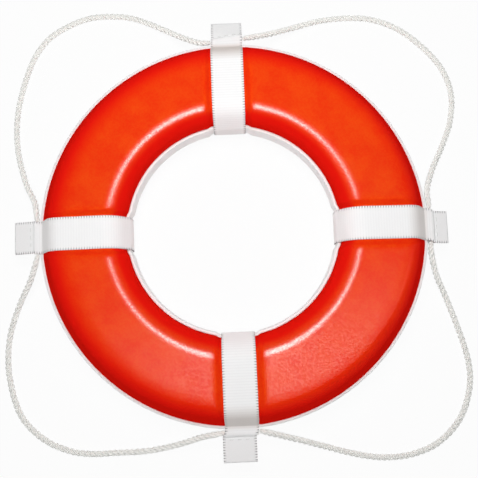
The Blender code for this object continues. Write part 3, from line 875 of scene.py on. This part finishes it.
def rear_line(inset, head):
    radius = REAR_SHOULDER - inset
    inside = arc(OPENING_RADIUS + REAR_SHOULDER, REAR_SHOULDER, radius, 2 * QUARTER, 3 * QUARTER)
    outside = arc(OUTER_RADIUS - REAR_SHOULDER, REAR_SHOULDER, radius, 3 * QUARTER, 4 * QUARTER)
    plateau = between(inside[-1], outside[0], PLATEAU_RINGS)
    return [(OPENING_RADIUS + inset, head), *inside, *plateau, *outside,
            (OUTER_RADIUS - inset, head)]


def front_section():
    return front_line(0.0) + front_line(COVER_WALL)[::-1]


def rear_section():
    """A trough whose two upper edges are thickened into rims that the front cover tucks into."""
    rim_centre = RIM_HEIGHT - RIM_ROUNDING
    outer_face = FRONT_OUTER + FIT_GAP
    inner_face = FRONT_INNER - FIT_GAP
    outer_rim = [(outer_face, RIM_FOOT), (outer_face, RIM_HEIGHT)]
    outer_rim += arc(OUTER_RADIUS - RIM_ROUNDING, rim_centre, RIM_ROUNDING, QUARTER, 0, BEAD_STEP)
    inner_rim = arc(OPENING_RADIUS + RIM_ROUNDING, rim_centre, RIM_ROUNDING,
                    2 * QUARTER, QUARTER, BEAD_STEP)
    inner_rim += [(inner_face, RIM_HEIGHT), (inner_face, RIM_FOOT)]
    outside = rear_line(0.0, rim_centre)[1:-1][::-1]
    return outer_rim + outside + inner_rim + rear_line(COVER_WALL, RIM_FOOT)


print("points:", len(front_section()), "in front,", len(rear_section()), "in the rear")

# %% Press the channels
SLOPE_COLUMNS = 9
COLUMNS_BETWEEN_CHANNELS = 56
COLUMNS_PER_QUARTER = 2 * SLOPE_COLUMNS + COLUMNS_BETWEEN_CHANNELS - 1
CHANNEL_FLOOR = STRAP_WIDTH / 2 + CHANNEL_SIDE_GAP
CHANNEL_REACH = CHANNEL_FLOOR + CHANNEL_SLOPE


def channel_point(radius, z, sideways, depth):
    """A point of the ring beside a strap that runs along +X, with its share of the pressing."""
    round_x = math.sqrt(radius * radius - sideways * sideways)
    flat_x = radius - CHANNEL_OUTSIDE if radius > MIDDLE_RADIUS else radius + CHANNEL_INSIDE
    x = round_x + (flat_x - round_x) * depth
    if z > RIM_HEIGHT + FIT_GAP and radius > MIDDLE_RADIUS:
        z -= CHANNEL_FRONT * depth * min(1.0, (z - RIM_HEIGHT) / (SLOPE_TOP - RIM_HEIGHT))
    elif z > RIM_HEIGHT + FIT_GAP:
        z -= CHANNEL_FRONT * depth
    elif z < RIM_FOOT - 2 * FIT_GAP:
        z += CHANNEL_BACK * depth
    return Vector((x, sideways, z))


def press_channels(bm):
    """Move the columns of a full spin to the strap's edges, and press the channels in."""
    slope = [(CHANNEL_FLOOR + share * CHANNEL_SLOPE, (1 + math.cos(math.pi * share)) / 2)
             for share in np.linspace(0.0, 1.0, SLOPE_COLUMNS)]
    column_angle = QUARTER / COLUMNS_PER_QUARTER
    directions = [math.radians(values[0]) for values in STRAPS.values()]
    directions.append(directions[0] + 4 * QUARTER)
    for vert in bm.verts:
        radius = math.hypot(vert.co.x, vert.co.y)
        column = round(math.atan2(vert.co.y, vert.co.x) / column_angle)
        quarter, place = divmod(column % (4 * COLUMNS_PER_QUARTER), COLUMNS_PER_QUARTER)
        start, end = directions[quarter], directions[quarter + 1]
        edge = math.asin(CHANNEL_REACH / radius)
        if place < SLOPE_COLUMNS:
            sideways, depth = slope[place]
            point = turned(start) @ channel_point(radius, vert.co.z, sideways, depth)
        elif place < COLUMNS_PER_QUARTER - SLOPE_COLUMNS:
            share = (place - SLOPE_COLUMNS + 1) / COLUMNS_BETWEEN_CHANNELS
            angle = edge + share * (end - start - 2 * edge)
            point = turned(start + angle) @ Vector((radius, 0.0, vert.co.z))
        else:
            sideways, depth = slope[COLUMNS_PER_QUARTER - 1 - place]
            point = turned(end) @ channel_point(radius, vert.co.z, -sideways, depth)
        vert.co = point


def turn_cover(name, section, material):
    """Spin a closed section round the ring's axis, press the channels, store the painted shade."""
    bm = bmesh.new()
    verts = [bm.verts.new((r, 0.0, z)) for r, z in section]
    edges = [bm.edges.new((verts[i - 1], verts[i])) for i in range(len(verts))]
    bmesh.ops.spin(bm, geom=verts + edges, cent=(0, 0, 0), axis=(0, 0, 1), dvec=(0, 0, 0),
                   angle=4 * QUARTER, steps=4 * COLUMNS_PER_QUARTER, use_merge=True,
                   use_duplicate=False)
    press_channels(bm)
    bmesh.ops.recalc_face_normals(bm, faces=bm.faces)
    bm.normal_update()
    cover_shade = bm.verts.layers.float.new("cover_shade")
    beside = bm.verts.layers.float.new("beside")
    for vert in bm.verts:
        vert[cover_shade] = painted_shade(vert.co, vert.normal)
        vert[beside] = closeness(vert.co)
    return add_piece(name, bm, material)


# %% [markdown]
# The orange plateau and its red shoulders are one sheet of vinyl. Its colour is deepened to red
# as painted shade where the sheet turns away from the light, most of all on the outer shoulder
# and beside the straps. That painted shade is stored with the mesh, from each point's own normal.

# %% How much painted shade deepens a point of the cover to red
# the middle of the painted shade, and where it begins and is full: by radius, then by share of the
# normal
SHADE_CENTRE = Vector((0.0060, -0.0025, 0.0))
OUTER_SHOULDER = (0.2455, 0.2815)
INNER_SHOULDER = (0.35, 0.72)
CHANNEL_SIDE = (0.08, 0.45)
CHANNEL_SHADE = 0.35
# how far from a strap's edge the gloss begins and is full
EDGE_FADE = (0.006, 0.018)


def smooth_step(value, low, high):
    share = min(1.0, max(0.0, (value - low) / (high - low)))
    return share * share * (3 - 2 * share)


def painted_shade(place, normal):
    """Painted shade, 0 on the plateau to 1 where the cover turns away: outwards early, inwards
    late.
    """
    outwards = Vector((place.x, place.y, 0.0)) - SHADE_CENTRE
    radius = outwards.length
    radial = normal.dot(outwards) / radius
    sideways = abs(normal.cross(outwards).z) / radius
    outer = smooth_step(radius, *OUTER_SHOULDER)
    inner = smooth_step(-radial, *INNER_SHOULDER)
    return max(outer, inner, CHANNEL_SHADE * smooth_step(sideways, *CHANNEL_SIDE))


def closeness(place):
    """1 at a strap's edge, fading to 0 on the open ring, where the gloss is full."""
    gaps = []
    for side in STRAPS:
        local = strap_turn(side).inverted() @ place
        if local.x > 0:
            gaps.append(abs(local.y) - STRAP_WIDTH / 2)
    return 1 - smooth_step(min(gaps), *EDGE_FADE)


# %% Vinyl materials
GRAIN_SIZE = 0.0024


def add_vinyl(tree, wrinkles):
    """The vinyl group on the object's own coordinates, and its soft patches as a mask."""
    place = node(tree, "ShaderNodeTexCoord").outputs["Object"]
    vinyl = node(tree, "ShaderNodeGroup",
                 {"Place": place, "Grain Size": GRAIN_SIZE, "Wrinkles": wrinkles}, node_tree=VINYL)
    return vinyl.outputs, ramp(tree, vinyl.outputs["Mottle"], 0.3, 0.7)


def make_orange_material():
    """Orange where the cover is flat, red as painted shade where it turns away, glossy only in the
    open.
    """
    material, tree, shader = principled("orange_vinyl")
    vinyl, mottle = add_vinyl(tree, 0.05)
    cover_shade = stored(tree, "cover_shade")
    patchy = maths(tree, "ADD", times(tree, mottle, 0.6), times(tree, vinyl["Speckle"], 0.4))
    flat = mix_colours(tree, patchy, (245, 53, 12), (250, 75, 15))
    # the red where the cover turns away is painted shade
    dress(tree, shader, mix_colours(tree, cover_shade, flat, (236, 24, 14)), 0.25)
    raise_bumps(tree, shader, vinyl["Height"], 0.14, 0.0005)
    speckled = maths(tree, "ADD", 0.38, times(tree, vinyl["Speckle"], 0.26))
    dull = maths(tree, "MAXIMUM", cover_shade, stored(tree, "beside"))
    open_share = maths(tree, "SUBTRACT", 1.0, dull)
    gloss = times(tree, speckled, maths(tree, "POWER", open_share, 2.0))
    tree.links.new(gloss, shader.inputs["Specular IOR Level"])
    return material


def make_white_material():
    material, tree, shader = principled("white_vinyl")
    vinyl, mottle = add_vinyl(tree, 0.3)
    dress(tree, shader, mix_colours(tree, mottle, (247, 248, 247), (252, 252, 252)), 0.4)
    raise_bumps(tree, shader, vinyl["Height"], 0.1, 0.0005)
    return material


orange_material = make_orange_material()
white_material = make_white_material()

# %% Make both covers
front = turn_cover("front_shell", front_section(), orange_material)
rear = turn_cover("rear_shell", rear_section(), white_material)
for piece, node_name, slot_name in ((front, "front_cover", "orange_cover"),
                                    (rear, "rear_cover", "white_cover")):
    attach(piece, "ring")
    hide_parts(node_name)
    print(f"{piece.name}: {len(piece.data.polygons)} faces")

# %% [markdown]
# ## The foam core
#
# The core doesn't show, but it is there when someone takes the covers off. Its CAD solids have
# the right shape, so they only get a foam finish: a pale bead pattern with small pits.

# %% Foam finish
def make_foam_material():
    material, tree, shader = principled("closed_cell_foam")
    place = node(tree, "ShaderNodeTexCoord").outputs["Object"]
    beads = node(tree, "ShaderNodeTexVoronoi", {"Vector": place, "Scale": 280.0})
    shade = ramp(tree, beads.outputs["Distance"], 0.1, 0.9)
    dress(tree, shader, mix_colours(tree, shade, (240, 238, 230), (222, 219, 208)), 0.9)
    raise_bumps(tree, shader, beads.outputs["Distance"], 0.5, 0.0006, invert=True)
    return material


foam_material = make_foam_material()
for name in ("foam_core_front", "foam_core_rear"):
    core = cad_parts[name]
    core.data.materials.clear()
    core.data.materials.append(foam_material)
    print(f"{core.name}: {foam_material.name}")

# %% [markdown]
# ## Floor, light and background
#
# The photograph was lit from close to the camera: the highlight runs round the inner shoulder,
# the outer slopes fall off, and the lower plateau has a broad sheen. Two kinds of light share
# this work. The matt lamps and the low sky give every surface its brightness. One more lamp and
# a patch of the sky show only in the gloss, so that the highlight and the sheen can be placed
# without washing out the orange. The background is white because the floor and the sky look
# white to the camera and in reflections, not because of more light.

# %% Floor and sky
FLOOR_SIZE = 40.0
FLOOR_GAP = 0.0002
# how much of the floor is plain white to the camera; the rest of it shows the shadow
FLOOR_WHITE = 0.93
# heights of a direction: where the open sky begins and is full, where the low fill fades and ends
OVERHEAD = (0.1, 0.3)
LOW_FILL = (0.45, 0.75)
# the sheen is a slanted band of the sky with a near and a far edge
SHEEN_SLANT = -0.2
SHEEN_NEAR = (-0.02, -0.16)
SHEEN_FAR = (-0.34, -0.24)


def white_to_camera(tree):
    """1 for rays that show the background itself, or show it in a mirror or through glass."""
    rays = node(tree, "ShaderNodeLightPath")
    shown = maths(tree, "MAXIMUM", rays.outputs["Is Camera Ray"], rays.outputs["Is Glossy Ray"])
    return maths(tree, "MAXIMUM", shown, rays.outputs["Is Transmission Ray"])


def make_floor():
    bm = bmesh.new()
    bmesh.ops.create_grid(bm, x_segments=1, y_segments=1, size=FLOOR_SIZE / 2)
    bmesh.ops.translate(bm, verts=bm.verts, vec=(0, 0, -FLOOR_GAP))
    material, tree, shader = principled("pale_floor")
    shader.inputs["Base Color"].default_value = (0.9, 0.9, 0.9, 1.0)
    shader.inputs["Roughness"].default_value = 0.9
    shader.inputs["Specular IOR Level"].default_value = 0.0
    glow = node(tree, "ShaderNodeEmission", {"Color": (1, 1, 1, 1), "Strength": 1.0})
    share = times(tree, white_to_camera(tree), FLOOR_WHITE)
    mix = node(tree, "ShaderNodeMixShader",
               {0: share, 1: shader.outputs["BSDF"], 2: glow.outputs[0]})
    tree.links.new(mix.outputs[0], tree.nodes["Material Output"].inputs["Surface"])
    floor = add_piece("floor", bm, material)
    print(f"{floor.name}: {FLOOR_SIZE:.0f} m wide")


def make_sky(fill, lean, sheen):
    """White behind the object, a low fill for matt surfaces, and a broad sheen in the gloss."""
    world = bpy.data.worlds.new("studio")
    world.use_nodes = True
    tree = world.node_tree
    direction = node(tree, "ShaderNodeTexCoord").outputs["Generated"]
    split = node(tree, "ShaderNodeSeparateXYZ", {0: direction})
    height = split.outputs["Z"]
    overhead = ramp(tree, height, *OVERHEAD)
    backdrop = maths(tree, "SUBTRACT", 1.0, times(tree, overhead, 0.99))
    right = maths(tree, "DIVIDE", split.outputs["X"], height)
    up = maths(tree, "DIVIDE", split.outputs["Y"], height)
    slanted = maths(tree, "ADD", up, times(tree, right, SHEEN_SLANT))
    band = times(tree, ramp(tree, slanted, *SHEEN_NEAR), ramp(tree, slanted, *SHEEN_FAR))
    sheen_band = times(tree, times(tree, band, sheen), overhead)
    rays = node(tree, "ShaderNodeLightPath")
    mirrored = maths(tree, "MAXIMUM", rays.outputs["Is Glossy Ray"],
                     rays.outputs["Is Transmission Ray"])
    in_gloss = times(tree, maths(tree, "ADD", backdrop, sheen_band), mirrored)
    seen = maths(tree, "MAXIMUM", rays.outputs["Is Camera Ray"], in_gloss)
    sideways = node(tree, "ShaderNodeVectorMath", {0: direction, 1: lean}, operation="DOT_PRODUCT")
    leaning = maths(tree, "ADD", 1.0, sideways.outputs["Value"])
    low = maths(tree, "SUBTRACT", 1.0, ramp(tree, height, *LOW_FILL))
    soft = times(tree, rays.outputs["Is Diffuse Ray"], times(tree, times(tree, leaning, low), fill))
    lit = maths(tree, "MAXIMUM", seen, soft)
    background = tree.nodes["Background"]
    background.inputs["Color"].default_value = (1, 1, 1, 1)
    tree.links.new(lit, background.inputs["Strength"])
    bpy.context.scene.world = world
    print(f"sky: fill {fill}, sheen {sheen}")


make_floor()
make_sky(fill=0.56, lean=(-0.05, -0.35, 0.0), sheen=4.7)

# %% Lamps
# lamp: place, width, depth, power, and whether it shows in the gloss or lights the matt surfaces
LAMPS = {
    "gloss": (Vector((0.010, -0.055, 0.60)), 0.17, 0.22, 3.1, True),
    "front": (Vector((-0.05, -0.13, 1.50)), 0.50, 0.50, 6.8, False),
    "back": (Vector((0.0, 0.35, 1.10)), 0.50, 0.50, 5.9, False),
}
for name, (place, width, depth, power, gloss) in LAMPS.items():
    lamp = bpy.data.lights.new(name, "AREA")
    lamp.shape = "RECTANGLE"
    lamp.size = width
    lamp.size_y = depth
    lamp.energy = power
    lamp.cycles.use_multiple_importance_sampling = gloss
    lamp_object = bpy.data.objects.new(name, lamp)
    lamp_object.location = place
    lamp_object.visible_camera = False
    lamp_object.visible_diffuse = not gloss
    lamp_object.visible_glossy = gloss
    bpy.context.scene.collection.objects.link(lamp_object)
    print(f"lamp {name}: {power} W, {width} x {depth} m")

bpy.context.scene.view_settings.view_transform = "Standard"
